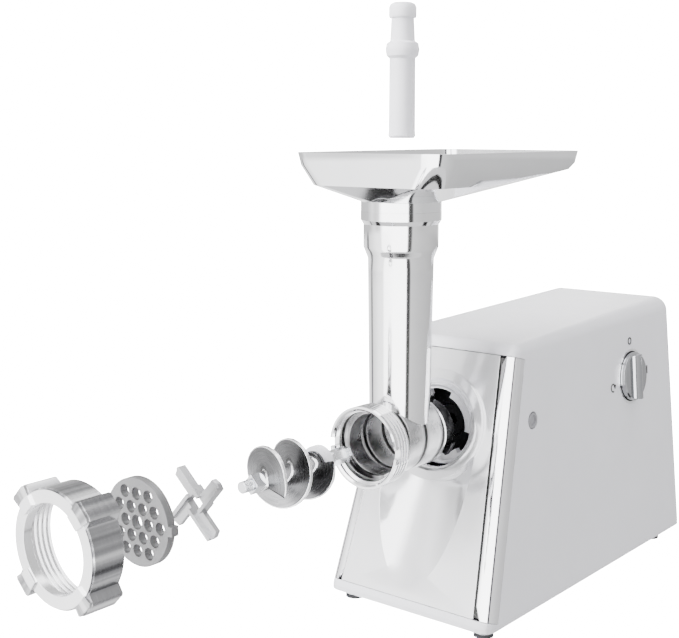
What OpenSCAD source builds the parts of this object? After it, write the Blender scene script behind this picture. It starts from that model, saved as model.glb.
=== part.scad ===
// Electric meat grinder, laid out in order of assembly: the head stands just out of the drive
// socket, and the bush, auger, cutter, plate and ring nut wait in line in front of the barrel.
// Millimetres. X is the dial side, Y is rearward, Z is up from the floor.

// Node to build, or all

/* [Housing] */
// Width of the housing at its top
top_w = 116.6; // [110:0.2:124]
// Width of the housing at its base
base_w = 148.4; // [144:0.2:154]
// Wall thickness of the plastic housing
wall = 2.5; // [2:0.1:3]
// Height of the feet
foot_h = 8.3; // [6:0.1:12]

/* [Head] */
// Height of the drive axis above the floor
axis_h = 144.5; // [142:0.5:147]
// Crest diameter of the barrel's mouth ridges
mouth_d = 59; // [57:0.2:60]
// Inside diameter of the barrel
bore_d = 45; // [44:0.2:46]
// Outside diameter of the filling tube at the barrel
tube_d = 44.6; // [43:0.2:45]
// Outside diameter of the filling tube below the bands
tube_top_d = 47; // [45:0.2:48]

/* [Tray] */
// Width of the tray
tray_w = 130.4; // [120:0.2:140]
// Length of the tray
tray_l = 193; // [180:1:205]
// Height of the tray's rim above the floor
rim_h = 349.3; // [345:0.5:355]
// Diameter of the throat that guides the pusher
throat_d = 22; // [21:0.2:24]

/* [Cutting set] */
// Diameter of the auger flights
flight_d = 44; // [42:0.2:44.4]
// Diameter of the grinding plate
plate_d = 52; // [50:0.2:52.4]
// Diameter of one hole in the grinding plate
hole_d = 7.4; // [5:0.1:7.8]
// Distance between neighbouring plate holes
hole_pitch = 9.7; // [9.2:0.1:10]
// Span of the cutter over two arms
cutter_d = 48; // [45:0.5:49]
// Outside diameter of the ring nut
ring_d = 67; // [66:0.5:69]

/* [Pusher] */
// Diameter of the pusher's rod
pusher_d = 19; // [17:0.2:19.4]
// Diameter of the pusher's collar
collar_d = 23.6; // [23.2:0.2:26]

/* [Layout] */
// Distance from the waiting auger to its place in the head
auger_out = 118; // [110:1:126]
// Extra distance from the waiting cutter to the auger
cutter_out = 50; // [45:1:55]
// Extra distance from the waiting plate to the auger
plate_out = 88; // [84:1:94]
// Extra distance from the waiting ring nut to the plate
ring_out = 53; // [50:1:58]

/* [Hidden] */
mid_y = 15;                          // middle of the layout, measured from the filling tube
floor_z = foot_h + 3;                // lower edge of the housing shell
lean = 16.37;                        // lean of the front face
side = 4.53;                         // lean of the side faces
front0 = 7.5;                        // front face at its lower edge
rear0 = 336;                         // rear face at its lower edge
front_s = 205.7;                     // length of the front face along its slope
sock_s = (axis_h - floor_z) / cos(lean);
ring_r = 42;                         // raised ring around the socket
scoop_r = 97;                        // radius of the scoop at its foot
motor_z = axis_h - 91.4;             // motor axis
lay_x = 30;                          // first layshaft, from the machine's middle
lay_z = axis_h - 71.5;
mid_z = axis_h - 49;                 // second layshaft
side_y = 244.7;                      // switch dial
side_z = 158.3;
side_x = 62.6;
btn_y = 82;                          // release button
btn_z = 150.5;
mouth_y = -43.4;                     // barrel mouth
spigot_y = 24;                       // front of the bayonet spigot
back_y = 38;                         // rear of the head
nk_z = rim_h - 41;                   // top of the head's neck
steel = [0.62, 0.63, 0.65];
cast = [0.80, 0.81, 0.83];
white = [0.93, 0.93, 0.95];
dark = [0.12, 0.12, 0.13];

// ---- helpers ----
module place() translate([0, -mid_y, 0]) children();

// 2D x,z outline carried from y0 to y1
module along(y0, y1) translate([0, y1, 0]) rotate([90, 0, 0]) linear_extrude(y1 - y0) children();

// ring or disc on a Y axis
module disc(y0, y1, r, hole = 0, x = 0, z = axis_h, fn = 96)
  along(y0, y1) translate([x, z]) difference() {
    circle(r, $fn = fn);
    if (hole > 0) circle(hole, $fn = fn);
  }

// cone on a Y axis
module cone(y0, y1, r0, r1, z = axis_h)
  translate([0, y0, z]) rotate([-90, 0, 0]) cylinder(h = y1 - y0, r1 = r0, r2 = r1, $fn = 96);

module bar(x, y, z) translate([x[0], y[0], z[0]]) cube([x[1] - x[0], y[1] - y[0], z[1] - z[0]]);

module rrect(w, l, r) {
  square([w, l - 2 * r], center = true);
  square([w - 2 * r, l], center = true);
  for (i = [-1, 1], j = [-1, 1])
    translate([i * (w / 2 - r), j * (l / 2 - r)]) circle(r, $fn = 48);
}

// frame on the front face: x across, z up the slope, -y outward
module on_front() translate([0, front0, floor_z]) rotate([-lean, 0, 0]) children();

// frame on the dial side: z outward, x down
module on_side(y, z, x) translate([x, y, z]) rotate([0, 90 - side, 0]) children();

// closed form of the housing, inset by t
module body_form(t) hull() for (i = [-1, 1]) {
  translate([i * (top_w / 2 - 7.4), 71.5, 200.8]) sphere(8 - t, $fn = 40);
  translate([i * (top_w / 2 - 12.45), rear0 - 19, 204.5]) sphere(13 - t, $fn = 48);
  for (y = [front0 + 10, rear0 - 10])
    translate([i * (base_w / 2 - 10), y, floor_z - (t > 0 ? 0.5 : 0)])
      cylinder(h = 0.6, r = 10 - t, $fn = 40);
}

// half width of the front face at slope distance s, less e
function hw(s, e) = base_w / 2 - e - (base_w - top_w) / 2 * s / front_s;

module face_outline(s0, s1, e)
  polygon([[-hw(s0, e), s0], [hw(s0, e), s0], [hw(s1, e), s1], [-hw(s1, e), s1]]);

module face_slab(s0, s1, e, y0, y1)
  translate([0, y1, 0]) rotate([90, 0, 0]) linear_extrude(y1 - y0) face_outline(s0, s1, e);

// involute gear outline, pressure angle 25, with a little backlash
function inv(r, rb) = let (a = acos(min(1, rb / r))) tan(a) * 180 / PI - a;
function half_tooth(r, rp, n) =
  let (rb = rp * cos(25)) 90 / n - 0.05 / rp * 180 / PI + inv(rp, rb) - inv(max(r, rb), rb);
function flank(n, m, add, ded) =
  let (rp = n * m / 2, ri = rp - ded, rs = max(rp * cos(25), ri), ro = rp + add)
  concat([[ri, half_tooth(rs, rp, n)]],
         [for (i = [0 : 3]) let (r = rs + (ro - rs) * i / 3) [r, half_tooth(r, rp, n)]]);

module gear2d(n, m, add, ded, turn, hole) {
  f = flank(n, m, add, ded);
  c = len(f);
  difference() {
    polygon([for (k = [0 : n - 1], j = [0 : 2 * c - 1])
      let (q = j < c ? f[j] : f[2 * c - 1 - j], a = 360 * k / n + turn + (j < c ? -q[1] : q[1]))
      [q[0] * cos(a), q[0] * sin(a)]]);
    circle(hole, $fn = 64);
  }
}

module gear(n, m, y0, y1, x, z, turn, hole)
  along(y0, y1) translate([x, z])
    gear2d(n, m, (n > 30 ? 0.6 : 0.9) * m, (n > 30 ? 1.1 : 0.8) * m, turn, hole);

// ---- housing ----
// Open-bottomed white plastic body behind the front cover
module housing_shell() color(white) place() difference() {
  body_form(0);
  body_form(wall);
  on_front() translate([-100, -8, 5.6]) cube([200, 20.4, 192]);
  // dial and button holes
  on_side(side_y, side_z, side_x) translate([0, 0, -8]) cylinder(h = 16, r = 22.2, $fn = 96);
  translate([50, btn_y, btn_z]) rotate([0, 90, 0]) cylinder(h = 30, r = 6.7, $fn = 48);
  // rear air slots and gland hole
  for (i = [-4 : 4]) bar([i * 9 - 2, i * 9 + 2], [316, 346], [120, 168]);
  along(316, 346) translate([0, 42]) circle(7.05, $fn = 48);
}

// hollow of the scoop, t larger: a leaning cone that narrows towards the ring
module scoop(t) translate([-3, -scoop_r * cos(30.8), 14 + scoop_r * sin(30.8)]) rotate([-30.8, 0, 0])
  cylinder(h = 110, r1 = scoop_r + t, r2 = scoop_r + t - 110 * tan(22.5), $fn = 192);

module ring_post(r, y0, y1)
  translate([0, y1, sock_s]) rotate([90, 0, 0]) cylinder(h = y1 - y0, r = r, $fn = 128);

// Sloped front panel with the raised socket ring and the tongue-shaped scoop below it
module front_cover() color([0.90, 0.90, 0.93]) place() difference() {
  on_front() difference() {
    union() {
      translate([0, 3, 0]) rotate([90, 0, 0]) linear_extrude(3) polygon([[-hw(5.9, 12), 5.9],
        [hw(5.9, 13.8), 5.9], [hw(197, 13.8), 197], [-hw(197, 12), 197]]);
      face_slab(7, 196, 9.5, 3, 4.6);
      ring_post(ring_r, -3.2, 0.5);
      intersection() {
        union() {
          scoop(2.6);
          ring_post(ring_r, 0, 16);
        }
        translate([-60, 0.5, 8]) cube([120, 15.5, 127]);
      }
    }
    difference() {
      scoop(0);
      ring_post(ring_r, -10, 40);
    }
    ring_post(ring_r - 2.5, 3, 30);
    translate([0, 0, sock_s]) rotate([90, 0, 0])
      cylinder(h = 8, r1 = 33.4, r2 = 38, $fn = 96);
  }
  disc(-20, 90, 31);
}

// Bright strips along both front corners
module front_trims() color([0.85, 0.85, 0.87]) place() intersection() {
  difference() {
    body_form(0);
    body_form(wall);
  }
  on_front() difference() {
    translate([-100, -8, 6]) cube([200, 20, 191.2]);
    face_slab(0, 210, 11.6, -20, 20);
    // notches where the strips' ends meet the panel
    translate([0, 20, 0]) rotate([90, 0, 0]) linear_extrude(40) for (i = [0, 1]) mirror([i, 0])
      for (e = [[5, 7.6, 17], [198, 8, 189]])
        polygon([[hw(e[0], 12), e[0]], [hw(e[0], e[1]), e[0]], [hw(e[2], 12), e[2]]]);
  }
}

// Bright trim ring set in the socket opening
module socket_bezel() color([0.85, 0.85, 0.87]) place() difference() {
  disc(49.8, 51.3, 30.9);
  cone(49.7, 51.4, 30.2, 28.4);
  disc(49, 52, 28.4);
}

// Bayonet ring with three entry lobes
module socket_ring() color([0.88, 0.88, 0.9]) place() difference() {
  disc(51.6, 57, 30.9);
  lobes(51, 58, 22.7, 27, 22);
}

module lobes(y0, y1, r0, r1, half) along(y0, y1) translate([0, axis_h]) {
  circle(r0, $fn = 96);
  for (a = [90, 210, 330]) rotate(a) intersection() {
    circle(r1, $fn = 96);
    polygon([[0, 0], [40, -40 * tan(half)], [40, 40 * tan(half)]]);
  }
}

// Black cup behind the bayonet ring
module socket_liner() color(dark) place() difference() {
  disc(57, 68, 30.9);
  disc(56, 65.5, 28);
  disc(60, 70, 13);
  bar([-40, -20], [62, 65.6], [axis_h - 4, axis_h + 4]);
}

// Posts from the liner to the gearbox
module liner_posts() color(dark) place() for (a = [30, 150, 270])
  translate([26 * cos(a), 0, 26 * sin(a)]) disc(68, 80, 3.5, 0, fn = 40);

// Base with air slots, standing rims for the feet and a ledge inside the shell
module base_plate() color(white) place() difference() {
  union() {
    translate([0, (front0 + rear0) / 2, foot_h]) linear_extrude(3)
      rrect(base_w, rear0 - front0, 10);
    translate([0, (front0 + rear0) / 2, foot_h + 3]) linear_extrude(3) difference() {
      rrect(base_w - 7, rear0 - front0 - 12, 7);
      rrect(base_w - 13, rear0 - front0 - 22, 5);
    }
    feet() translate([0, 0, 3]) cylinder(h = foot_h - 3, r = 7, $fn = 48);
  }
  for (i = [-6 : 6]) bar([i * 7 - 1.8, i * 7 + 1.8], [200, 252], [0, 20]);
  feet() cylinder(h = 30, r = 2.1, $fn = 32);
}

module feet() for (x = [-60, 60], y = [24, 302]) translate([x, y, 0]) children();

module rubber_feet() color([0.16, 0.16, 0.17]) place() feet() difference() {
  cylinder(h = 3, r = 7.4, $fn = 48);
  translate([0, 0, -1]) cylinder(h = 2.6, r = 3.6, $fn = 48);
  cylinder(h = 5, r = 2.1, $fn = 32);
}

module foot_screws() color(steel) place() feet() {
  translate([0, 0, 1.6]) cylinder(h = 12.4, r = 2.05, $fn = 32);
  translate([0, 0, 0.5]) cylinder(h = 1.1, r = 3.4, $fn = 32);
}

// Bright ring around the dial
module dial_bezel() color([0.85, 0.85, 0.87]) place() on_side(side_y, side_z, side_x) difference() {
  translate([0, 0, -0.03]) cylinder(h = 0.73, r = 23.2, $fn = 128);
  translate([0, 0, -1]) cylinder(h = 4, r = 21.4, $fn = 128);
}

// Dark cup that the dial sits in
module dial_cup() color(dark) place() on_side(side_y, side_z, side_x) difference() {
  translate([0, 0, -6.5]) cylinder(h = 6.1, r = 22.15, $fn = 128);
  translate([0, 0, -5.3]) cylinder(h = 8, r = 21, $fn = 128);
  translate([0, 0, -8]) cylinder(h = 8, r = 4.4, $fn = 48);
}

// Raised marks: stop above the dial, run to the rear, reverse to the front
module dial_symbols() color([0.2, 0.2, 0.22]) place() on_side(side_y, side_z, side_x)
  translate([0, 0, -0.03]) linear_extrude(0.33) {
    translate([-30, 0]) difference() {
      circle(3.2, $fn = 48);
      circle(2.1, $fn = 48);
    }
    translate([-1, 31]) square([7, 1.5], center = true);
    translate([5, -33]) {
      difference() {
        circle(3.7, $fn = 48);
        circle(2.7, $fn = 48);
        polygon([[0, 0], [8, 3], [8, 10], [-3, 10]]);
      }
      translate([-0.2, 3.2]) polygon([[-2, -2], [-2, 2.2], [1.6, 0.1]]);
    }
  }

// ---- inside the housing ----
module rotary_switch() color(dark) place() on_side(side_y, side_z, side_x) difference() {
  union() {
    translate([-13, -13, -28]) cube([26, 26, 20]);
    translate([0, 0, -8]) cylinder(h = 1.5, r = 9, $fn = 64);
    for (i = [-8, 0, 8]) translate([i, -1, -34]) cube([0.8, 5, 6.1]);
  }
  translate([0, 0, -25]) cylinder(h = 30, r = 3.06, $fn = 64);
}

// Inlet for the supply lead; the lead itself is left out
module cord_gland() color(dark) place() {
  disc(324, 339, 7, 3.6, 0, 42, 64);
  disc(335.4, 339, 9.5, 3.6, 0, 42, 64);
  difference() {
    along(326, 332) translate([0, 42]) circle(10, $fn = 6);
    disc(325, 333, 3.6, 0, 0, 42, 64);
  }
}

module control_board() color([0.12, 0.38, 0.22]) place() {
  bar([-38, 38], [298, 299.6], [58, 112]);
  bar([-30, -12], [286, 298], [64, 82]);
  bar([10, 24], [284, 298], [90, 104]);
  disc(278, 298, 7, 0, 8, 72, 48);
  for (x = [-34, 34]) bar([x - 3, x + 3], [294, 302], [foot_h + 3, 60]);
}

plate_outline = [[-44, foot_h + 3], [62, foot_h + 3], [62, 106], [44, 122], [44, 186], [-44, 186]];

module gearbox_plate(y0, y1, last) difference() {
  along(y0, y1) polygon(plate_outline);
  disc(y0 - 1, y1 + 1, last);
  disc(y0 - 1, y1 + 1, 7, 0, 0, mid_z);
  disc(y0 - 1, y1 + 1, 7, 0, lay_x, lay_z);
  posts(y0 - 1, y1 + 1, 2.5);
}

post_at = [[-37, 24], [55, 24], [-37, 178], [37, 178]];

module posts(y0, y1, r) for (p = post_at) disc(y0, y1, r, 0, p[0], p[1], 40);

module gearbox_front_plate() color(steel) place() {
  gearbox_plate(80, 84, 12);
  difference() {
    bar([44, 46], [76.5, 87.5], [axis_h + 0.5, axis_h + 11.5]);
    translate([40, btn_y, btn_z]) rotate([0, 90, 0]) cylinder(h = 10, r = 1.6, $fn = 32);
  }
}

module gearbox_rear_plate() color(steel) place() difference() {
  gearbox_plate(126, 130, 11);
  disc(125, 131, 8, 0, 0, motor_z);
  stator_bolts(125, 131, 2);
}

module gearbox_posts() color([0.7, 0.7, 0.72]) place() {
  posts(84, 126, 4.5);
  posts(78, 132, 2.5);
  for (p = post_at, y = [77, 130]) disc(y, y + 3, 4.2, 0, p[0], p[1], 6);
}

module shaft_bushes() color([0.76, 0.6, 0.36]) place() {
  disc(80, 84, 12, 7.56);
  disc(126, 130, 11, 7.56);
  for (y = [80, 126]) {
    disc(y, y + 4, 7, 4.05, 0, mid_z, 64);
    disc(y, y + 4, 7, 4.05, lay_x, lay_z, 64);
  }
  disc(126, 130, 8, 4.05, 0, motor_z, 64);
  disc(240, 246, 8, 4.05, 0, motor_z, 64);
}

module stator_bolts(y0, y1, r) for (i = [-24, 24], j = [-28, 28])
  disc(y0, y1, r, 0, i, motor_z + j, 32);

module motor_stator() color([0.45, 0.46, 0.5]) place() difference() {
  along(148, 188) translate([0, motor_z]) difference() {
    rrect(62, 62, 6);
    circle(17.8, $fn = 96);
    for (i = [-1, 1]) translate([0, i * 22]) square([26, 9], center = true);
    for (i = [-1, 1], j = [-1, 1]) translate([i * 19.5, j * 13]) square([10, 7], center = true);
  }
  stator_bolts(140, 200, 2.05);
}

module stator_coils() color([0.72, 0.36, 0.14]) place() for (s = [-1, 1])
  translate([0, 0, motor_z]) scale([1, 1, s]) {
    for (i = [-1, 1]) bar([i * 19.5 - 3.8, i * 19.5 + 3.8], [139, 197], [10, 16]);
    for (y = [139, 188.5]) bar([-23.3, 23.3], [y, y + 8.5], [16, 24]);
    for (i = [-1, 1], y = [139, 188.5]) bar([i * 19.5 - 3.8, i * 19.5 + 3.8], [y, y + 8.5], [10, 24]);
  }

module motor_end_bracket() color(steel) place() difference() {
  along(240, 243) translate([0, motor_z]) {
    rrect(64, 20, 4);
    rrect(20, 64, 4);
    circle(16, $fn = 64);
    for (a = [45, 135]) rotate(a) square([84, 12], center = true);
  }
  disc(239, 244, 8, 0, 0, motor_z);
  stator_bolts(239, 244, 2.05);
}

module motor_screws() color(steel) place() {
  stator_bolts(127, 245, 2);
  for (i = [-24, 24], j = [-28, 28]) {
    disc(243, 246, 3.4, 0, i, motor_z + j, 6);
    disc(130, 148, 3.1, 2, i, motor_z + j, 32);
    disc(188, 240, 3.1, 2, i, motor_z + j, 32);
  }
}

module brush_holders() color([0.45, 0.30, 0.16]) place() for (i = [-1, 1]) {
  difference() {
    bar([i > 0 ? 11.5 : -34, i > 0 ? 34 : -11.5], [201, 211], [motor_z - 5, motor_z + 5]);
    bar([i > 0 ? 10 : -27, i > 0 ? 27 : -10], [202.5, 209.5], [motor_z - 3, motor_z + 3]);
  }
  bar([i > 0 ? 30 : -34, i > 0 ? 34 : -30], [203, 209], [foot_h + 3, motor_z - 5]);
}

module carbon_brushes() color([0.18, 0.18, 0.19]) place() difference() {
  for (i = [-1, 1])
    bar([i > 0 ? 8 : -24, i > 0 ? 24 : -8], [202.6, 209.4], [motor_z - 2.9, motor_z + 2.9]);
  disc(200, 212, 9.06, 0, 0, motor_z);
}

// ---- release button ----
module release_button() color([0.80, 0.80, 0.83]) place() translate([0, btn_y, btn_z])
  rotate([0, 90, 0]) difference() {
    translate([0, 0, 56]) cylinder(h = 7.2, r = 5.9, $fn = 64);
    translate([0, 0, 62.2]) cylinder(h = 3, r = 4.2, $fn = 64);
  }

module release_yoke() color(steel) place() {
  disc(63.1, 65.4, 38.2, 35.4);
  bar([-36.5, -23.2], [63.2, 65.4], [axis_h - 3.4, axis_h + 3.4]);
  bar([36, 56], [63.1, 65.4], [145.5, 155.5]);
  bar([53.5, 56], [65.3, 88], [145.5, 155.5]);
}

module release_spring() color(steel) place() translate([46.3, btn_y, btn_z]) rotate([0, 90, 0]) {
  linear_extrude(7, twist = -360 * 4, slices = 96) translate([3.4, 0]) circle(0.5, $fn = 8);
  for (z = [0.06, 6.6]) translate([0, 0, z]) rotate_extrude($fn = 48)
    translate([3.4, 0]) square([1.2, 0.7], center = true);
}

// ---- dial ----
module switch_knob() color([0.82, 0.83, 0.85]) place() on_side(side_y, side_z, side_x) {
  difference() {
    union() {
      translate([0, 0, -4.6]) cylinder(h = 8.8, r = 20.5, $fn = 128);
      translate([0, 0, 4.2]) cylinder(h = 1.2, r1 = 20.5, r2 = 19.2, $fn = 128);
      intersection() {
        translate([-20, 0, 3.8]) rotate([0, 90, 0]) cylinder(h = 40, r = 6.4, $fn = 64);
        cylinder(h = 12, r = 19, $fn = 128);
      }
    }
    translate([0, 0, -5]) cylinder(h = 9, r = 3, $fn = 64);
    translate([-20, -0.6, 9.7]) cube([10, 1.2, 2]);
  }
}

module switch_shaft() color(steel) place() on_side(side_y, side_z, side_x)
  translate([0, 0, -24]) cylinder(h = 28, r = 3, $fn = 64);

// ---- drive train ----
module output_gear() color(steel) place() gear(42, 1.75, 88, 98, 0, axis_h, -90 + 180 / 42, 7.5);

module drive_socket() color([0.5, 0.51, 0.53]) place() difference() {
  union() {
    disc(66.5, 79.6, 12);
    disc(79.6, 131, 7.5);
  }
  along(66, 86) translate([0, axis_h]) circle(5.95, $fn = 6);
}

module second_gear() color([0.86, 0.84, 0.78]) place()
  gear(48, 1.25, 100, 110, 0, mid_z, mesh_a + 180 + 180 / 48, 4);

module third_pinion() color(steel) place() {
  gear(14, 1.75, 87, 99.6, 0, mid_z, 90, 4);
}

module second_layshaft() color(steel) place() disc(79, 131, 4, 0, 0, mid_z, 64);

module first_gear() color([0.86, 0.84, 0.78]) place()
  gear(60, 1, 112, 122, lay_x, lay_z, mesh_b + 180 + 180 / 60, 4);

module second_pinion() color(steel) place() gear(12, 1.25, 99.4, 111.6, lay_x, lay_z, mesh_a, 4);

module first_layshaft() color(steel) place() disc(79, 131, 4, 0, lay_x, lay_z, 64);

mesh_a = atan2(mid_z - lay_z, -lay_x);   // from the first layshaft to the second
mesh_b = atan2(lay_z - motor_z, lay_x);  // from the motor to the first layshaft

module motor_shaft() color(steel) place() disc(110, 254, 4, 0, 0, motor_z, 64);

module motor_pinion() color(steel) place() gear(12, 1, 111, 123, 0, motor_z, mesh_b, 4);

module rotor_core() color([0.45, 0.46, 0.5]) place() along(148.5, 187.5) translate([0, motor_z])
  difference() {
    circle(17.2, $fn = 96);
    circle(4, $fn = 64);
    for (k = [0 : 11]) rotate(30 * k) translate([14.4, 0]) square([7, 2.2], center = true);
  }

module commutator() color([0.78, 0.46, 0.22]) place() along(200, 212) translate([0, motor_z])
  difference() {
    circle(9, $fn = 96);
    circle(4, $fn = 64);
  }

module cooling_fan() color(dark) place() along(221, 233) translate([0, motor_z]) {
  difference() {
    circle(8, $fn = 64);
    circle(4, $fn = 64);
  }
  for (k = [0 : 8]) rotate(40 * k) translate([7.5, -0.8]) square([19, 1.6]);
}

// ---- head ----
module head_casting() color(cast) place() difference() {
  union() {
    disc(-27, spigot_y, 25, fn = 128);
    disc(mouth_y + 3, -27, mouth_d / 2 - 1.6, fn = 128);
    disc(mouth_y, mouth_y + 3, mouth_d / 2, fn = 128);
    for (k = [0 : 3]) disc(mouth_y + 4.4 + 3.1 * k, mouth_y + 6 + 3.1 * k, mouth_d / 2, fn = 128);
    cone(-27, -23, mouth_d / 2 - 1.6, 25);
    disc(spigot_y, back_y, 22, fn = 128);
    along(31, 36) translate([0, axis_h]) for (a = [90, 210, 330]) rotate(a) intersection() {
      circle(26, $fn = 96);
      polygon([[0, 0], [40, -9], [40, 9]]);
    }
    // filling tube and its bands
    translate([0, 0, axis_h]) cylinder(h = 275 - axis_h, d1 = tube_d - 0.8, d2 = tube_top_d, $fn = 128);
    translate([0, 0, 275]) cylinder(h = 8.3, d1 = tube_top_d, d2 = 53.4, $fn = 128);
    translate([0, 0, 283.3]) cylinder(h = nk_z - 9 - 283.3 + 0.5, d = 53.4, $fn = 128);
    translate([0, 0, nk_z - 9]) cylinder(h = 3, d1 = 53.4, d2 = 57.4, $fn = 128);
    translate([0, 0, nk_z - 6]) cylinder(h = 6, d = 57.4, $fn = 128);
  }
  // barrel bore, plate seat, bush seat and tube bore
  disc(-60, 19.6, bore_d / 2, fn = 128);
  disc(-60, -38.6, plate_d / 2 + 0.5, fn = 128);
  cone(mouth_y - 0.2, mouth_y + 1.4, plate_d / 2 + 2, plate_d / 2 + 0.4);
  disc(-39, -30.4, cutter_d / 2 + 0.9, fn = 128);
  disc(20, 50, 6.3);
  disc(19, 29.6, 12.4);
  for (i = [-1, 1]) bar([i > 0 ? 20 : -40, i > 0 ? 40 : -20], [-60, -38.6], [axis_h - 3.2, axis_h + 3.2]);
  translate([0, 0, axis_h]) cylinder(h = 260 - axis_h, d = 35, $fn = 128);
  translate([0, 0, 259]) cylinder(h = 28, d1 = 35, d2 = 39, $fn = 128);
  translate([0, 0, nk_z - 22]) cylinder(h = 40, d = 44.8, $fn = 128);
}

// ---- tray ----
tray_y = -46 + tray_l / 2;

module slab(w, l, r, y, z) translate([0, y, z]) linear_extrude(0.5) rrect(w, l, r);

// Outer form of the tray, inset by t
module tray_form(t) {
  hull() {
    slab(tray_w - 2 * t, tray_l - 2 * t, 16 - t, tray_y, rim_h - 0.5 + (t > 0 ? 1 : 0));
    slab(tray_w - 3 - 2 * t, tray_l - 3 - 2 * t, 16 - t, tray_y, rim_h - 9);
    slab(tray_w - 10 - 2 * t, tray_l - 9 - 2 * t, 16 - t, tray_y, rim_h - 14 + t);
    slab(tray_w - 20 - 2 * t, 92 - 2 * t, 18 - t, 4, rim_h - 23 + t);
    translate([0, 0, rim_h - 34.6 + t * 0.6])
      cylinder(h = 1, r = t > 0 ? 24 : 27.4, $fn = 64);
  }
}

// Pan with a funnel, a collar that rests on the neck and a guide throat for the pusher
module tray_pan() color(cast) place() difference() {
  union() {
    tray_form(0);
    translate([0, 0, nk_z]) cylinder(h = 7, r = 28.6, $fn = 128);
    translate([0, 0, nk_z - 18]) cylinder(h = 19, r = 22, $fn = 128);
  }
  tray_form(2.4);
  translate([0, 0, nk_z - 40]) cylinder(h = 60, d = throat_d, $fn = 96);
  translate([0, 0, nk_z - 19]) cylinder(h = 14, d1 = 39, d2 = throat_d + 1, $fn = 96);
  translate([0, 0, nk_z + 3.6]) cylinder(h = 8, d1 = throat_d, d2 = 50, $fn = 96);
}

// ---- pusher ----
rod_z = rim_h + 9.8;

module pusher_rod() color([0.95, 0.95, 0.97]) place() translate([0, 0, rod_z]) difference() {
  rotate_extrude($fn = 96) polygon([[0, 0], [pusher_d / 2 - 1.2, 0], [pusher_d / 2, 1.6],
    [pusher_d / 2 - 0.3, 5], [pusher_d / 2 - 0.5, 54.6], [collar_d / 2 - 0.8, 56.4],
    [collar_d / 2, 60.6], [collar_d / 2 - 0.8, 64.8], [pusher_d / 2 - 0.9, 66.4],
    [pusher_d / 2 - 1.7, 82], [0, 82]]);
  translate([0, 0, -1]) cylinder(h = 79, r = pusher_d / 2 - 3.4, $fn = 64);
}

module pusher_cap() color([0.95, 0.95, 0.97]) place() translate([0, 0, rod_z + 82])
  rotate_extrude($fn = 96) polygon([[0, 0], [pusher_d / 2 - 0.4, 0], [pusher_d / 2, 1.2],
    [pusher_d / 2, 7], [pusher_d / 2 - 1, 9.2], [pusher_d / 2 - 3.6, 10.4], [0, 10.8]]);

// ---- feed and cutting set ----
// positions along the barrel are those in the assembled head, then moved out
module out(d) translate([0, -d, 0]) children();

module auger_bush() color([0.96, 0.96, 0.95]) place() out(auger_out) {
  disc(24.2, 29.4, 12, 5.3);
}

module auger_screw() color(cast) place() out(auger_out) difference() {
  auger_flights();
  disc(-32, 24, 4);
}

module auger_flights() {
  disc(-31, 19, 6.2);
  disc(18.6, 20, 9);
  disc(20, 21.4, 7.4);
  disc(21.4, 23, 9);
  translate([0, 18.6, axis_h]) rotate([90, 0, 0])
    linear_extrude(48.6, twist = 360 * 2, slices = 48) intersection() {
      circle(flight_d / 2, $fn = 48);
      polygon([[5, -2.4], [30, -9.5], [34, 0], [30, 9.5], [5, 2.4]]);
    }
}

module auger_shaft() color(steel) place() out(auger_out) {
  disc(-31, 23, 4);
  disc(23, 24, 8.2);
  disc(24, 39, 5.2);
  along(39, 57) translate([0, axis_h]) circle(5.7, $fn = 6);
  along(-38.8, -31) translate([0, axis_h]) rotate(45) square(9.5, center = true);
  disc(-47, -38.8, 3.3);
  for (k = [0 : 4]) disc(-46.6 + 1.5 * k, -45.8 + 1.5 * k, 3.9);
}

module cutter() color([0.66, 0.66, 0.67]) place() out(auger_out + cutter_out)
  difference() {
    union() {
      along(-36.4, -31.2) translate([0, axis_h]) rotate(48) square(15, center = true);
      along(-36.6, -33) translate([0, axis_h]) blades(-7.5, 0.8);
      along(-38.9, -34.4) translate([0, axis_h]) blades(-7.5, -4.9);
    }
    along(-40, -30) translate([0, axis_h]) rotate(45) square(9.8, center = true);
  }

// four arms set off to one side of the hub, between v0 and v1 across the arm
module blades(v0, v1) intersection() {
  circle(cutter_d / 2, $fn = 96);
  for (k = [0 : 3]) rotate(90 * k + 48)
    polygon([[0, v0], [cutter_d / 2 + 1, v0], [cutter_d / 2 - 1.6, v1], [0, v1]]);
}

module grinding_plate() color([0.60, 0.60, 0.62]) place() out(auger_out + plate_out)
  along(-44.4, -39) translate([0, axis_h]) difference() {
    union() {
      circle(plate_d / 2, $fn = 128);
      square([plate_d + 5.6, 5.8], center = true);
    }
    circle(4.3, $fn = 48);
    for (k = [0 : 5]) rotate(60 * k) {
      translate([hole_pitch, 0]) circle(hole_d / 2, $fn = 40);
      translate([2 * hole_pitch, 0]) circle(hole_d / 2, $fn = 40);
      rotate(30) translate([hole_pitch * sqrt(3), 0]) circle(hole_d / 2, $fn = 40);
    }
  }

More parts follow.
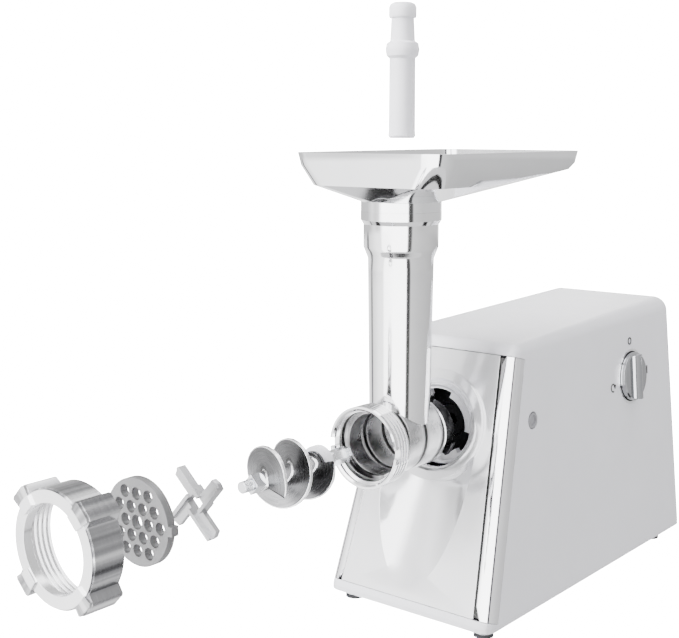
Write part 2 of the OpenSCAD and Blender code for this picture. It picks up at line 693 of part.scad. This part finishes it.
module ring_nut() color(cast) place() out(auger_out + plate_out + ring_out) difference() {
  union() {
    disc(-50, -28.4, ring_d / 2 - 0.8, fn = 128);
    disc(-48.8, -29.6, ring_d / 2, fn = 128);
    along(-49.4, -29) translate([0, axis_h]) for (k = [0 : 3]) rotate(45 + 90 * k)
      polygon([[28, -8.5], [ring_d / 2 + 4.4, -6.4], [ring_d / 2 + 5.4, -5], [ring_d / 2 + 5.4, 5],
               [ring_d / 2 + 4.4, 6.4], [28, 8.5]]);
    along(-51.4, -48.6) translate([0, axis_h]) for (k = [0 : 3]) rotate(45 + 90 * k)
      polygon([[26, -4.6], [ring_d / 2 + 4, -6.6], [ring_d / 2 + 5, -5], [ring_d / 2 + 5, 5],
               [ring_d / 2 + 4, 6.6], [26, 4.6]]);
  }
  disc(-60, -20, 25.4, fn = 128);
  disc(-44.7, -41.4, mouth_d / 2 + 1.5, fn = 128);
  disc(-44.7, -20, mouth_d / 2 + 0.5, fn = 128);
  for (k = [0 : 3]) disc(-40 + 3.1 * k, -38 + 3.1 * k, mouth_d / 2 + 1.5, fn = 128);
}

housing_shell();
front_cover();
front_trims();
socket_bezel();
socket_ring();
socket_liner();
liner_posts();
base_plate();
rubber_feet();
foot_screws();
dial_bezel();
dial_cup();
dial_symbols();
rotary_switch();
cord_gland();
control_board();
gearbox_front_plate();
gearbox_rear_plate();
gearbox_posts();
shaft_bushes();
motor_stator();
stator_coils();
motor_end_bracket();
motor_screws();
brush_holders();
carbon_brushes();
release_button();
release_yoke();
release_spring();
switch_knob();
switch_shaft();
output_gear();
drive_socket();
second_gear();
third_pinion();
second_layshaft();
first_gear();
second_pinion();
first_layshaft();
motor_shaft();
motor_pinion();
rotor_core();
commutator();
cooling_fan();
head_casting();
tray_pan();
pusher_rod();
pusher_cap();
auger_bush();
auger_screw();
auger_shaft();
cutter();
grinding_plate();
ring_nut();
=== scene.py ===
import math

import bpy
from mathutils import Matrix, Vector


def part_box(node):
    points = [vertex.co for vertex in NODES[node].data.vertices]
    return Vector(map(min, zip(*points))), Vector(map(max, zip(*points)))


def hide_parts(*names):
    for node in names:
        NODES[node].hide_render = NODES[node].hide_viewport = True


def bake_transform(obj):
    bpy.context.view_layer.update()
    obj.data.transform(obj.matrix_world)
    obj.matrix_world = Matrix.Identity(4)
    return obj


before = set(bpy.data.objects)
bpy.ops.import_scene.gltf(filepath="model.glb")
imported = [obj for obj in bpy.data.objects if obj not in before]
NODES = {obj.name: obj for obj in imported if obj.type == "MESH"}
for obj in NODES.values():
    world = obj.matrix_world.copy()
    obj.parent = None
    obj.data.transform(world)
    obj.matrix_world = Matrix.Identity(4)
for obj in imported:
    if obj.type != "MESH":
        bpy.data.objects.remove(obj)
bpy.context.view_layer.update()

# ---- measures of the part, in metres in the row frame ----
plate_lo, plate_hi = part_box("grinding_plate")
AXIS = 0.5 * (plate_lo[2] + plate_hi[2])     # height of the barrel's axis
LEAN = math.radians(16.37)                   # lean of the front face
SLOPE_Y, SLOPE_Z = 0.0075 - 0.015, 0.0113    # foot of the front face
# below this depth and right of the edge line the cover is painted black as shade in the seam
SEAM_DEPTH = 0.0003                          # the cover is black below this depth
EDGE_LEAN, EDGE_X = 0.0806, 0.0590           # right edge of the front cover
# the barrel's inside is painted darker as shade in cast_head, and its spiral grooves near-black as shade
BORE_R, BORE_END = 0.0252, 0.007             # inside of the barrel
# the spigot is painted near-black as shade in cast_head
SPIGOT_Y, SPIGOT_R = 0.0092, 0.030           # start and reach of the bayonet spigot
GROOVE_PITCH = 0.022                         # spiral grooves in the barrel
FLIGHT_RIM, STUD_R = 0.0212, 0.0071          # bright rims of the flights, and the bright core
RING_R, RING_INNER = 0.0326, 0.0252          # outer band and bore of the ring nut
COIL_SLACK = 0.00005                         # keeps the release coil inside the CAD box

# ---- camera: right-front, level with the tray's rim, looking down a little ----
AZ, PITCH = math.radians(39.4), math.radians(9.0)
cam = bpy.data.objects.new("camera", bpy.data.cameras.new("camera"))
bpy.context.collection.objects.link(cam)
bpy.context.scene.camera = cam
cam.data.sensor_width = 36.0
cam.data.lens = 63.6
cam.data.clip_start, cam.data.clip_end = 0.02, 50
cam.location = (0.5053, -0.6989, 0.3654)
cam.rotation_euler = (math.pi / 2 - PITCH, 0, AZ)


# ---- node helpers ----
class Tree:
    """Small wrapper that adds shader nodes and links them."""

    def __init__(self, name):
        self.mat = bpy.data.materials.new(name)
        self.mat.use_nodes = True
        self.nt = self.mat.node_tree
        self.bsdf = self.nt.nodes["Principled BSDF"]

    def add(self, kind, **values):
        node = self.nt.nodes.new(kind)
        for key, value in values.items():
            if hasattr(node, key):
                setattr(node, key, value)
            else:
                node.inputs[key.replace("_", " ")].default_value = value
        return node

    def link(self, a, b):
        self.nt.links.new(a, b)

    def coords(self, scale=(1, 1, 1), rotation=(0, 0, 0)):
        tc = self.add("ShaderNodeTexCoord")
        mp = self.add("ShaderNodeMapping")
        mp.inputs["Scale"].default_value = scale
        mp.inputs["Rotation"].default_value = rotation
        self.link(tc.outputs["Object"], mp.inputs["Vector"])
        return mp.outputs["Vector"]

    def noise(self, vector, scale, detail=4.0, rough=0.55):
        n = self.add("ShaderNodeTexNoise")
        n.inputs["Scale"].default_value = scale
        n.inputs["Detail"].default_value = detail
        n.inputs["Roughness"].default_value = rough
        self.link(vector, n.inputs["Vector"])
        return n.outputs["Fac"]

    def spread(self, fac, a, b, lo=0.3, hi=0.7):
        m = self.add("ShaderNodeMapRange")
        m.inputs["From Min"].default_value = lo
        m.inputs["From Max"].default_value = hi
        m.inputs["To Min"].default_value = a
        m.inputs["To Max"].default_value = b
        self.link(fac, m.inputs["Value"])
        return m.outputs["Result"]

    def ramp(self, fac, stops):
        r = self.add("ShaderNodeValToRGB")
        el = r.color_ramp.elements
        while len(el) < len(stops):
            el.new(0.5)
        for e, (p, c) in zip(el, stops):
            e.position = p
            e.color = (*c, 1)
        self.link(fac, r.inputs["Fac"])
        return r.outputs["Color"]

    def mix(self, factor, a, b):
        """Blend of two colours, each a socket or a plain tuple."""
        m = self.add("ShaderNodeMix", data_type="RGBA")
        self.link(factor, m.inputs["Factor"])
        for i, x in ((6, a), (7, b)):
            if isinstance(x, tuple):
                m.inputs[i].default_value = (*x, 1)
            else:
                self.link(x, m.inputs[i])
        return m.outputs[2]

    def mix_value(self, factor, a, b):
        """Blend of two numbers: a is a socket, b a socket or a plain number."""
        m = self.add("ShaderNodeMix", data_type="FLOAT")
        self.link(factor, m.inputs["Factor"])
        self.link(a, m.inputs[2])
        if isinstance(b, float):
            m.inputs[3].default_value = b
        else:
            self.link(b, m.inputs[3])
        return m.outputs[0]

    def calc(self, op, *args):
        m = self.add("ShaderNodeMath")
        m.operation = op
        for i, x in enumerate(args):
            if isinstance(x, (int, float)):
                m.inputs[i].default_value = x
            else:
                self.link(x, m.inputs[i])
        return m.outputs[0]

    def bump(self, height, strength, distance, edge=0.0004):
        b = self.add("ShaderNodeBump")
        if edge:
            bev = self.add("ShaderNodeBevel", samples=4)
            bev.inputs["Radius"].default_value = edge
            self.link(bev.outputs["Normal"], b.inputs["Normal"])
        b.inputs["Strength"].default_value = strength
        b.inputs["Distance"].default_value = distance
        self.link(height, b.inputs["Height"])
        self.link(b.outputs["Normal"], self.bsdf.inputs["Normal"])
        return b

    def set(self, **values):
        for key, value in values.items():
            self.bsdf.inputs[key.replace("_", " ")].default_value = value


def shade(c, k):
    return tuple(min(1.0, x * k) for x in c)


def plastic(name, colour, rough=(0.18, 0.26), coat=0.0, peel=0.00002, vary=0.03, ior=1.5):
    t = Tree(name)
    v = t.coords()
    cloud = t.noise(v, 18, 5)
    t.link(t.ramp(cloud, [(0.3, shade(colour, 1 - vary)), (0.7, shade(colour, 1 + vary * 0.5))]),
           t.bsdf.inputs["Base Color"])
    t.link(t.spread(t.noise(v, 60, 6), *rough), t.bsdf.inputs["Roughness"])
    t.bump(t.noise(v, 900, 2), 0.25, peel)
    t.set(Coat_Weight=coat, Coat_Roughness=0.05, IOR=ior)
    return t.mat


def metal(name, colour, rough, streak=(1, 1, 1), streak_scale=120, depth=0.00001, vary=0.05,
          strength=0.3, edge=0.0004):
    t = Tree(name)
    v = t.coords()
    cloud = t.noise(v, 25, 6)
    t.link(t.ramp(cloud, [(0.3, shade(colour, 1 - vary)), (0.7, shade(colour, 1 + vary * 0.4))]),
           t.bsdf.inputs["Base Color"])
    lines = t.noise(t.coords(streak), streak_scale, 5, 0.7)
    t.link(t.spread(lines, *rough), t.bsdf.inputs["Roughness"])
    t.bump(lines, strength, depth, edge)
    t.set(Metallic=1.0)
    return t.mat


def polar(t):
    """Radius and angle round the barrel's axis, and the distance along it."""
    tc = t.add("ShaderNodeTexCoord")
    sep = t.add("ShaderNodeSeparateXYZ")
    t.link(tc.outputs["Object"], sep.inputs[0])
    x, y = sep.outputs["X"], sep.outputs["Y"]
    z = t.calc("SUBTRACT", sep.outputs["Z"], AXIS)
    r = t.calc("SQRT", t.calc("ADD", t.calc("MULTIPLY", z, z), t.calc("MULTIPLY", x, x)))
    return tc.outputs["Object"], r, t.calc("ARCTAN2", x, z), y


def turned(name, colour, rough, rings, depth=0.00001, strength=0.35, vary=0.05):
    """Metal with fine tool marks in circles round the barrel's axis."""
    t = Tree(name)
    v, r, _, y = polar(t)
    comb = t.add("ShaderNodeCombineXYZ")
    t.link(t.calc("MULTIPLY", r, rings), comb.inputs["X"])
    t.link(t.calc("MULTIPLY", y, rings), comb.inputs["Y"])
    lines = t.noise(comb.outputs[0], 1.0, 3, 0.6)
    t.link(t.ramp(t.calc("ADD", t.calc("MULTIPLY", lines, 0.5), t.calc("MULTIPLY", t.noise(v, 30, 6), 0.5)),
                  [(0.35, shade(colour, 1 - vary)), (0.65, shade(colour, 1 + vary))]),
           t.bsdf.inputs["Base Color"])
    t.link(t.spread(lines, *rough), t.bsdf.inputs["Roughness"])
    t.bump(lines, strength, depth)
    t.set(Metallic=1.0)
    return t.mat


def brushed_ring():
    """Bright cast ring whose brushed outer band carries soft dark bands of painted reflection."""
    t = Tree("ring_alloy")
    v, r, angle, y = polar(t)
    comb = t.add("ShaderNodeCombineXYZ")
    t.link(t.calc("MULTIPLY", angle, 1.6), comb.inputs["X"])
    reflection_bands = t.noise(comb.outputs[0], 2.3, 2, 0.5)
    fine = t.add("ShaderNodeCombineXYZ")
    t.link(t.calc("MULTIPLY", angle, 4.0), fine.inputs["X"])
    t.link(t.calc("MULTIPLY", y, 500), fine.inputs["Y"])
    lines = t.noise(fine.outputs[0], 1.0, 4, 0.65)
    # painted reflection: dark bands round the outer band, set by angle
    band = t.ramp(t.calc("ADD", t.calc("MULTIPLY", reflection_bands, 0.95), t.calc("MULTIPLY", lines, 0.05)),
                  [(0.36, (0.10, 0.10, 0.105)), (0.50, (0.32, 0.32, 0.33)), (0.62, (0.66, 0.66, 0.67))])
    face = t.ramp(t.noise(v, 30, 5), [(0.3, (0.78, 0.78, 0.79)), (0.7, (0.88, 0.88, 0.89))])
    inner = t.ramp(lines, [(0.35, (0.22, 0.22, 0.225)), (0.65, (0.5, 0.5, 0.51))])
    outside = t.calc("GREATER_THAN", r, RING_R)
    inside = t.calc("LESS_THAN", r, RING_INNER)
    t.link(t.mix(inside, t.mix(outside, face, band), inner), t.bsdf.inputs["Base Color"])
    t.link(t.spread(lines, 0.20, 0.24), t.bsdf.inputs["Roughness"])
    t.bump(lines, 0.03, 0.000004)
    t.set(Metallic=1.0)
    return t.mat


def auger_metal():
    """Cast auger: brushed grey flights, bright rims and a polished core."""
    t = Tree("auger_alloy")
    v, r, angle, y = polar(t)
    comb = t.add("ShaderNodeCombineXYZ")
    t.link(t.calc("MULTIPLY", r, 900), comb.inputs["X"])
    t.link(t.calc("MULTIPLY", angle, 1.2), comb.inputs["Y"])
    lines = t.noise(comb.outputs[0], 1.0, 5, 0.7)
    patch = t.noise(v, 28, 2, 0.5)
    flight = t.ramp(t.calc("ADD", t.calc("MULTIPLY", lines, 0.3), t.calc("MULTIPLY", patch, 0.7)),
                    [(0.36, (0.07, 0.07, 0.072)), (0.5, (0.13, 0.13, 0.134)), (0.64, (0.27, 0.27, 0.278))])
    bright = t.ramp(patch, [(0.3, (0.80, 0.80, 0.81)), (0.7, (0.90, 0.90, 0.91))])
    polished = t.calc("ADD", t.calc("GREATER_THAN", r, FLIGHT_RIM), t.calc("LESS_THAN", r, STUD_R))
    t.link(t.mix(polished, flight, bright), t.bsdf.inputs["Base Color"])
    t.link(t.mix_value(polished, t.spread(lines, 0.18, 0.32), 0.06), t.bsdf.inputs["Roughness"])
    t.bump(lines, 0.15, 0.00001, 0.0006)
    t.set(Metallic=1.0)
    return t.mat


def cast_head():
    """Polished casting, rifled inside the barrel, whose inside is rougher cast and painted darker as shade,
    with its grooves and the spigot painted near-black as shade.
    """
    t = Tree("cast_alloy")
    v, r, angle, y = polar(t)
    inside = t.calc("MULTIPLY", t.calc("LESS_THAN", r, BORE_R), t.calc("LESS_THAN", y, BORE_END))
    spigot = t.calc("MULTIPLY", t.calc("GREATER_THAN", y, SPIGOT_Y), t.calc("LESS_THAN", r, SPIGOT_R))
    turn = t.calc("ADD", t.calc("MULTIPLY", angle, 1 / (2 * math.pi)), t.calc("MULTIPLY", y, 1 / GROOVE_PITCH))
    wave = t.calc("ABSOLUTE", t.calc("SUBTRACT", t.calc("FRACT", turn), 0.5))
    groove = t.spread(wave, 1.0, 0.0, 0.05, 0.10)
    ridge = t.spread(t.calc("ABSOLUTE", t.calc("SUBTRACT", wave, 0.14)), 1.0, 0.0, 0.01, 0.03)
    cloud = t.noise(v, 40, 6)
    bright = t.ramp(cloud, [(0.3, (0.80, 0.80, 0.815)), (0.7, (0.86, 0.86, 0.87))])
    # inside the barrel: rougher cast, and painted darker as shade; the spiral grooves are painted near-black
    # as shade
    bore_cast_and_shade = t.ramp(cloud, [(0.3, (0.26, 0.26, 0.265)), (0.7, (0.66, 0.66, 0.67))])
    bore = t.mix(ridge, t.mix(groove, bore_cast_and_shade, (0.02, 0.02, 0.02)), (0.5, 0.5, 0.51))
    # painted shade: the spigot is near-black where it sits in shadow
    spigot_shade = t.ramp(cloud, [(0.3, (0.015, 0.015, 0.016)), (0.7, (0.035, 0.035, 0.037))])
    t.link(t.mix(spigot, t.mix(inside, bright, bore), spigot_shade), t.bsdf.inputs["Base Color"])
    streaks = t.noise(t.coords((1, 1, 0.15)), 90, 5, 0.7)
    rough = t.mix_value(t.calc("MAXIMUM", inside, spigot), t.spread(streaks, 0.06, 0.12),
                        t.spread(cloud, 0.2, 0.36))
    t.link(rough, t.bsdf.inputs["Roughness"])
    height = t.calc("ADD", t.calc("MULTIPLY", streaks, 0.01),
                    t.calc("MULTIPLY", inside, t.calc("SUBTRACT", ridge, groove)))
    t.bump(height, 0.6, 0.0008)
    t.set(Metallic=1.0)
    return t.mat


def pearl_cover():
    """Glossy pearl panel painted black, as shade, down in the seam along its edges."""
    t = Tree("pearl_panel")
    v = t.coords()
    tc = t.add("ShaderNodeTexCoord")
    d = t.add("ShaderNodeVectorMath", operation="DOT_PRODUCT")
    t.link(tc.outputs["Object"], d.inputs[0])
    d.inputs[1].default_value = (0, math.cos(LEAN), -math.sin(LEAN))
    foot = SLOPE_Y * math.cos(LEAN) - SLOPE_Z * math.sin(LEAN)
    deep = t.calc("GREATER_THAN", t.calc("SUBTRACT", d.outputs["Value"], foot), SEAM_DEPTH)
    away = t.add("ShaderNodeSeparateXYZ")
    t.link(tc.outputs["Object"], away.inputs[0])
    x, z = away.outputs["X"], away.outputs["Z"]
    # the right edge leans in towards the top
    edge = t.calc("ADD", x, t.calc("MULTIPLY", z, EDGE_LEAN))
    seam_shade = t.calc("MULTIPLY", deep, t.calc("GREATER_THAN", edge, EDGE_X))
    cloud = t.noise(v, 14, 5)
    white = t.ramp(cloud, [(0.3, (0.77, 0.77, 0.79)), (0.7, (0.80, 0.80, 0.82))])
    # painted shade: the seam is black and not metallic
    t.link(t.mix(seam_shade, white, (0.003, 0.003, 0.003)), t.bsdf.inputs["Base Color"])
    t.link(t.calc("MULTIPLY", t.calc("SUBTRACT", 1.0, seam_shade), 0.55), t.bsdf.inputs["Metallic"])
    t.link(t.spread(t.noise(v, 60, 6), 0.08, 0.16), t.bsdf.inputs["Roughness"])
    t.bump(t.noise(v, 500, 2), 0.2, 0.00001, 0.0008)
    t.set(Coat_Weight=1.0, Coat_Roughness=0.03, Coat_IOR=1.6, IOR=1.6)
    return t.mat


WHITE = plastic("white_shell", (0.80, 0.80, 0.84), (0.14, 0.22), 0.5, 0.00001)
PEARL = pearl_cover()
FOOD = plastic("white_food_plastic", (0.86, 0.855, 0.90), (0.34, 0.46), 0.0, 0.00003)
BLACK = plastic("black_plastic", (0.010, 0.010, 0.012), (0.35, 0.5), 0.0, 0.00004, 0.3)
# near-black and less glossy than the other black plastic: painted shade inside the socket and housing
SHADE_BLACK = plastic("socket_shade_black", (0.0025, 0.0025, 0.003), (0.75, 0.9), 0.0, 0.00004, 0.3, ior=1.15)
# grey cap: painted shade in the button's recess
BUTTON_SHADE_GREY = plastic("button_shade_grey", (0.30, 0.30, 0.32), (0.3, 0.42))
RUBBER = plastic("rubber", (0.02, 0.02, 0.022), (0.6, 0.8), 0.0, 0.00006, 0.3)
MARK = plastic("grey_marks", (0.008, 0.008, 0.009), (0.4, 0.55), 0.0, 0.00002, 0.2)
BOARD = plastic("board", (0.02, 0.14, 0.06), (0.3, 0.5), 0.2, 0.00003, 0.3)
NYLON = plastic("gear_nylon", (0.78, 0.75, 0.66), (0.35, 0.5), 0.0, 0.00003)
BROWN = plastic("brown_plastic", (0.16, 0.08, 0.035), (0.35, 0.5), 0.0, 0.00003, 0.2)
CARBON = plastic("carbon", (0.015, 0.015, 0.016), (0.5, 0.7), 0.0, 0.00004, 0.2)
CHROME = metal("bright_trim", (0.90, 0.90, 0.92), (0.03, 0.07), (1, 1, 1), 60, 0.000004)
DIAL = metal("chrome_dial", (0.41, 0.415, 0.43), (0.08, 0.16), (6, 1, 6), 160, 0.000008, 0.15)
CAST = cast_head()
TRAY = metal("tray_alloy", (0.86, 0.865, 0.88), (0.05, 0.10), (0.2, 0.2, 1), 90, 0.000006)
SCREW = auger_metal()
RING = brushed_ring()
PLATE = turned("plate_steel", (0.21, 0.21, 0.214), (0.40, 0.55), 2500, 0.00002, 0.5, 0.08)
BLADE = metal("blade_steel", (0.44, 0.44, 0.45), (0.24, 0.38), (1, 1, 1), 200, 0.00002, 0.10)
STEEL = metal("zinc_steel", (0.62, 0.63, 0.65), (0.22, 0.36), (1, 1, 1), 120, 0.00001)
SHAFT = turned("shaft_steel", (0.72, 0.73, 0.75), (0.08, 0.2), 2500)
CORE = metal("core_steel", (0.34, 0.35, 0.38), (0.4, 0.55), (1, 60, 1), 40, 0.00004)
COPPER = metal("copper", (0.75, 0.32, 0.12), (0.25, 0.4), (80, 1, 80), 30, 0.00006)
BRONZE = metal("bronze", (0.6, 0.42, 0.2), (0.35, 0.5), (1, 1, 1), 300, 0.00003)

LOOK = {
    WHITE: ["housing_shell", "base_plate", "socket_ring", "socket_bezel"],
    PEARL: ["front_cover"],
    CHROME: ["front_trims", "dial_bezel"],
    DIAL: ["switch_knob"],
    BUTTON_SHADE_GREY: ["release_button"],
    SHADE_BLACK: ["socket_liner", "liner_posts", "release_yoke", "drive_socket", "output_gear"],
    # dial_cup is black as painted shade in the dial's recess, round the knob
    BLACK: ["dial_cup", "rotary_switch", "cord_gland", "cooling_fan"],
    RUBBER: ["rubber_feet"],
    MARK: ["dial_symbols"],
    BOARD: ["control_board"],
    NYLON: ["second_gear", "first_gear"],
    BROWN: ["brush_holders"],
    CARBON: ["carbon_brushes"],
    CAST: ["head_casting"],
    TRAY: ["tray_pan"],
    RING: ["ring_nut"],
    SCREW: ["auger_screw"],
    SHAFT: ["auger_shaft"],
    BLADE: ["cutter"],
    PLATE: ["grinding_plate"],
    FOOD: ["pusher_rod", "pusher_cap", "auger_bush"],
    CORE: ["motor_stator", "rotor_core"],
    COPPER: ["stator_coils", "commutator"],
    BRONZE: ["shaft_bushes"],
}
look_of = {n: m for m, names in LOOK.items() for n in names}


def smooth_group(limit):
    """Welds a CAD node's faces and shades it smooth, with edges sharper than the limit kept hard."""
    g = bpy.data.node_groups.new("smooth_under_%d" % limit, "GeometryNodeTree")
    g.interface.new_socket("Geometry", in_out="INPUT", socket_type="NodeSocketGeometry")
    g.interface.new_socket("Geometry", in_out="OUTPUT", socket_type="NodeSocketGeometry")
    gi, go = g.nodes.new("NodeGroupInput"), g.nodes.new("NodeGroupOutput")
    weld = g.nodes.new("GeometryNodeMergeByDistance")
    weld.inputs["Distance"].default_value = 0.000002
    faces = g.nodes.new("GeometryNodeSetShadeSmooth")
    faces.domain = "FACE"
    faces.inputs["Shade Smooth"].default_value = True
    angle = g.nodes.new("GeometryNodeInputMeshEdgeAngle")
    test = g.nodes.new("FunctionNodeCompare")
    test.data_type = "FLOAT"
    test.operation = "GREATER_THAN"
    test.inputs[1].default_value = math.radians(limit)
    edges = g.nodes.new("GeometryNodeSetShadeSmooth")
    edges.domain = "EDGE"
    edges.inputs["Shade Smooth"].default_value = False
    link = g.links.new
    link(gi.outputs[0], weld.inputs["Geometry"])
    link(weld.outputs["Geometry"], faces.inputs["Geometry"])
    link(faces.outputs["Geometry"], edges.inputs["Geometry"])
    link(angle.outputs["Unsigned Angle"], test.inputs[0])
    link(test.outputs[0], edges.inputs["Selection"])
    link(edges.outputs["Geometry"], go.inputs[0])
    return g


SMOOTH, CRISP = smooth_group(28), smooth_group(12)
for name, obj in NODES.items():
    m = look_of.get(name, STEEL)
    if not obj.material_slots:
        obj.data.materials.append(m)
    for s in obj.material_slots:
        s.material = m
    mod = obj.modifiers.new("smooth", "NODES")
    mod.node_group = CRISP if name == "front_cover" else SMOOTH


# ---- release spring: a static coil in the CAD spring's box; the real one sits on the housing at one end and on the yoke at the other ----
def release_coil(turns=4.0, flat=0.25, wire=0.00045, steps=160, sides=10):
    """Coil along X whose first and last quarter turns lie flat."""
    a, b = (Vector(c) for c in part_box("release_spring"))
    mid_y, mid_z = 0.5 * (a.y + b.y), 0.5 * (a.z + b.z)
    radius = 0.5 * (b.y - a.y) - wire - COIL_SLACK
    x0, x1 = a.x + wire, b.x - wire
    verts, faces = [], []
    for i in range(steps + 1):
        turn = turns * i / steps
        climb = min(1.0, max(0.0, (turn - flat) / (turns - 2 * flat)))
        c, sn = math.cos(2 * math.pi * turn), math.sin(2 * math.pi * turn)
        for k in range(sides):
            phi = 2 * math.pi * k / sides
            out = radius + wire * math.cos(phi)
            x = x0 + (x1 - x0) * climb + wire * math.sin(phi)
            verts.append((x, mid_y + out * c, mid_z + out * sn))
        if i:
            lower, upper = (i - 1) * sides, i * sides
            faces += [(lower + k, upper + k, upper + (k + 1) % sides, lower + (k + 1) % sides)
                      for k in range(sides)]
    faces += [tuple(range(sides)), tuple(range(steps * sides, (steps + 1) * sides))[::-1]]
    me = bpy.data.meshes.new("release_coil")
    me.from_pydata(verts, [], faces)
    me.materials.append(STEEL)
    me.shade_smooth()
    ob = bpy.data.objects.new("release_coil", me)
    bpy.context.collection.objects.link(ob)
    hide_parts("release_spring")
    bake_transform(ob)


release_coil()


# ---- studio ----
def stage_mesh(name, verts, faces, mat, loc=(0, 0, 0)):
    me = bpy.data.meshes.new(name)
    me.from_pydata(verts, [], faces)
    me.materials.append(mat)
    ob = bpy.data.objects.new(name, me)
    ob.location = loc
    bpy.context.collection.objects.link(ob)
    return ob


def drum(radius, z0, z1, n=96):
    ring = [(radius * math.cos(2 * math.pi * i / n), radius * math.sin(2 * math.pi * i / n))
            for i in range(n)]
    verts = [(x, y, z0) for x, y in ring] + [(x, y, z1) for x, y in ring]
    return verts, [(i, (i + 1) % n, n + (i + 1) % n, n + i) for i in range(n)]


def only_for(ob, camera=False, glossy=False):
    """A stage piece that only the camera or only the reflections see."""
    ob.visible_camera, ob.visible_glossy = camera, glossy
    ob.visible_diffuse = ob.visible_shadow = ob.visible_transmission = False


t = Tree("floor_white")
t.link(t.ramp(t.noise(t.coords(), 3, 3), [(0.3, (0.88, 0.88, 0.88)), (0.7, (0.90, 0.90, 0.90))]),
       t.bsdf.inputs["Base Color"])
t.set(Roughness=0.9, Specular_IOR_Level=0.0, Emission_Color=(1, 1, 1, 1), Emission_Strength=22.0)
floor = stage_mesh("floor", [(-7, -7, 0), (7, -7, 0), (7, 7, 0), (-7, 7, 0)], [(0, 1, 2, 3)], t.mat,
                   (0, 0, -0.0002))
only_for(floor, camera=True)

t = Tree("backdrop_white")
t.set(Base_Color=(0, 0, 0, 1), Roughness=1.0, Specular_IOR_Level=0.0, Emission_Color=(1, 1, 1, 1),
      Emission_Strength=23.5)
only_for(stage_mesh("backdrop", *drum(6.9, -0.1, 8.0), t.mat), camera=True)

# reflector drum: bright on the left, one dark strip right of the camera, grey further right.
# Each stop is an angle round the object from the camera, in degrees, and a brightness.
PEAK = 8.0
BAND_LOW = [(-180, 2.6), (-150, 2.4), (-132, 1.9), (-128, 0.3), (-121, 0.3), (-117, 2.0), (-100, 2.6),
            (-84, 3.4), (-67, 3.6), (-62, 6.6), (-42, 7.2), (-25, 8.0), (16, 8.0), (18, 0.12), (29, 0.12),
            (32, 1.35), (60, 1.15), (120, 0.85), (143, 0.75), (147, 0.25), (154, 0.25), (158, 1.8),
            (180, 2.6)]
# higher up the left side is dimmer, so that the scoop in the front cover stands out
BAND_HIGH = [(-180, 1.0), (-110, 1.2), (-92, 2.2), (-80, 1.7), (-69, 2.2), (-65, 4.5), (-58, 8.0),
             (16, 8.0), (18, 0.12), (29, 0.12), (32, 1.3), (60, 1.05), (140, 1.05), (158, 2.6), (180, 1.0)]
BAND_FROM, BAND_TO = 0.14, 0.20              # heights between which one band gives way to the other

t = Tree("reflectors")
sep = t.add("ShaderNodeSeparateXYZ")
t.link(t.coords(rotation=(0, 0, -AZ)), sep.inputs[0])
turn = t.calc("ARCTAN2", sep.outputs["X"], t.calc("MULTIPLY", sep.outputs["Y"], -1.0))
around = t.calc("MULTIPLY_ADD", turn, 1 / (2 * math.pi), 0.5)


def band(stops):
    return t.ramp(around, [(0.5 + deg / 360, (v / PEAK, v / PEAK, v / PEAK)) for deg, v in stops])


height = t.spread(sep.outputs["Z"], 0.0, 1.0, BAND_FROM, BAND_TO)
t.link(t.mix(height, band(BAND_LOW), band(BAND_HIGH)), t.bsdf.inputs["Emission Color"])
t.set(Base_Color=(0, 0, 0, 1), Roughness=1.0, Specular_IOR_Level=0.0, Emission_Strength=PEAK)
only_for(stage_mesh("reflectors", *drum(0.8, -0.35, 1.6), t.mat, (0, -0.015, 0)), glossy=True)

# dark ring at the foot of the drum, seen only in reflections
RING_N = 96
t = Tree("low_flag")
t.set(Base_Color=(0.01, 0.01, 0.01, 1), Roughness=1.0, Specular_IOR_Level=0.0)
outer, inner = drum(0.62, -0.35, -0.35)[0][:RING_N], drum(0.50, -0.35, -0.35)[0][:RING_N]
only_for(stage_mesh("low_flag", outer + inner, drum(1, 0, 0)[1], t.mat), glossy=True)


def area(name, size, loc, target, power):
    li = bpy.data.lights.new(name, "AREA")
    li.shape = "RECTANGLE"
    li.size, li.size_y = size
    li.energy = power
    ob = bpy.data.objects.new(name, li)
    bpy.context.collection.objects.link(ob)
    ob.location = loc
    ob.rotation_euler = (Vector(target) - Vector(loc)).to_track_quat("-Z", "Y").to_euler()


area("key_left", (1.4, 1.4), (-1.0, -1.7, 1.3), (0, -0.05, 0.15), 180)
area("top", (2.0, 2.0), (0.1, 0.1, 2.3), (0, 0, 0.1), 50)

w = bpy.data.worlds.new("studio")
bpy.context.scene.world = w
w.use_nodes = True
w.node_tree.nodes["Background"].inputs["Color"].default_value = (1.0, 1.0, 1.01, 1)
w.node_tree.nodes["Background"].inputs["Strength"].default_value = 1.35
